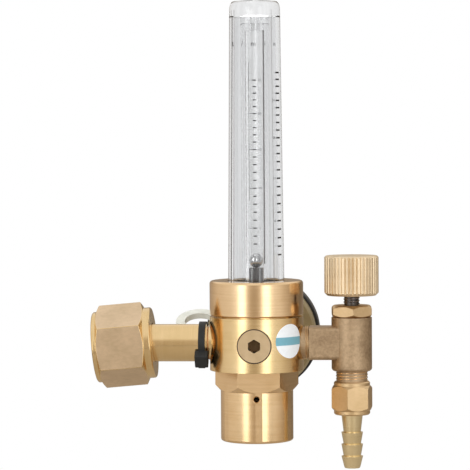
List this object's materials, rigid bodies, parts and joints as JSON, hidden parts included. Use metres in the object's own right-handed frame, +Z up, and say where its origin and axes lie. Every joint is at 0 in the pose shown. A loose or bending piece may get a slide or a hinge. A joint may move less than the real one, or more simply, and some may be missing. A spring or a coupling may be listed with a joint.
{
  "type": "carbon dioxide flowmeter regulator",
  "caption": "Brass gas regulator with a bonnet below, an upright clear flow tube, a pressure gauge behind, a hexagon inlet nut on one side and a needle valve with a hose barb on the other.",
  "frame": {"origin": "centre of the inlet nipple's nose face, where the regulator seats on a cylinder valve", "axes": "+Z up along the flow tube, -X out of the inlet, +X towards the outlet valve, -Y towards the front plug and +Y towards the gauge's dial"},
  "size_m": [0.1209, 0.0792, 0.1961],
  "materials": {
    "brass": "turned, lightly brushed",
    "cast_brass": "forged and blasted, a little duller",
    "nickelled_knob": "fluted, satin",
    "clear_plastic": "clear, polished",
    "white_plastic": "semi-opaque, matt",
    "seal_rubber": "matt",
    "black_plastic": "slightly shiny nylon",
    "spring_steel": "bright",
    "ball_steel": "polished",
    "paper_label": "white, with a coloured band",
    "gauge_case_paint": "brass coloured lacquer on sheet steel",
    "gauge_bezel_black": "black, semi-gloss",
    "dial_white": "white, printed",
    "pointer_black": "matt black"
  },
  "bodies": {
    "regulator": {"regulator_body": "brass", "front_plug": "brass", "plug_seal": "seal_rubber", "inspection_label": "paper_label", "tube_retaining_cap": "brass", "cover_tube": "clear_plastic", "cover_gasket": "seal_rubber", "metering_tube": "clear_plastic", "metering_tube_gasket": "white_plastic", "ball_stop": "brass", "tube_top_spacer": "white_plastic", "bonnet": "brass", "diaphragm": "seal_rubber", "slip_ring": "spring_steel", "main_spring": "spring_steel", "spring_button": "brass", "adjusting_screw": "spring_steel", "nozzle": "brass", "poppet_spring": "spring_steel", "inlet_nipple": "brass", "inlet_filter": "brass", "sealing_washer": "white_plastic", "cable_tie": "black_plastic", "valve_body": "cast_brass", "packing_nut": "brass", "hose_nut": "brass", "hose_barb": "brass", "gauge_case": "gauge_case_paint", "gauge_bezel": "gauge_bezel_black", "gauge_lens": "clear_plastic", "gauge_dial": "dial_white", "gauge_socket": "brass", "bourdon_tube": "brass", "movement_plate": "brass"},
    "inlet_nut": {"inlet_nut": "brass"},
    "needle_ring": {"stem_o_ring": "seal_rubber"},
    "stem": {"valve_stem": "brass", "valve_knob": "nickelled_knob", "knob_set_screw": "spring_steel"},
    "float": {"float_ball": "ball_steel"},
    "sector": {"sector_gear": "spring_steel"},
    "pointer": {"pointer_pinion": "spring_steel", "gauge_pointer": "pointer_black"},
    "diaphragm_centre": {"diaphragm_plate": "brass", "diaphragm_rivet": "brass"},
    "poppet": {"poppet": "brass"}
  },
  "joints": [
    {"name": "inlet_nut_spin", "type": "hinge", "parent": "regulator", "child": "inlet_nut", "pos_m": [0.01035, 0, 0], "axis": [-0.9962, 0, -0.0872], "continuous": true},
    {"name": "needle_travel", "type": "slide", "parent": "regulator", "child": "needle_ring", "axis": [0, 0, 1], "range_m": [0, 0.003]},
    {"name": "knob_turn", "type": "hinge", "parent": "needle_ring", "child": "stem", "pos_m": [0.096, 0, 0], "axis": [0, 0, 1], "range_deg": [0, 1080.5]},
    {"name": "float_rise", "type": "slide", "parent": "regulator", "child": "float", "axis": [0, 0, 1], "range_m": [0, 0.092]},
    {"name": "sector_swing", "type": "hinge", "parent": "regulator", "child": "sector", "pos_m": [0.056, 0, -0.0153], "axis": [0, 1, 0], "range_deg": [0, 36], "stiffness_Nm_per_rad": 0.02},
    {"name": "pointer_turn", "type": "hinge", "parent": "regulator", "child": "pointer", "pos_m": [0.056, 0, 0], "axis": [0, 1, 0], "range_deg": [-270.1, 0]},
    {"name": "diaphragm_travel", "type": "slide", "parent": "regulator", "child": "diaphragm_centre", "axis": [0, 0, 1], "range_m": [-0.0004, 0], "stiffness_N_per_m": 3000, "deforming": ["main_spring", "diaphragm"]},
    {"name": "poppet_travel", "type": "slide", "parent": "regulator", "child": "poppet", "axis": [0, 0, 1], "range_m": [-0.0004, 0], "deforming": ["poppet_spring"]}
  ],
  "couplings": [
    {"joint": "knob_turn", "follows": "needle_travel", "rad_per_m": 6283.2},
    {"joint": "pointer_turn", "follows": "sector_swing", "ratio": -7.5},
    {"joint": "poppet_travel", "follows": "diaphragm_travel", "ratio": 1}
  ]
}
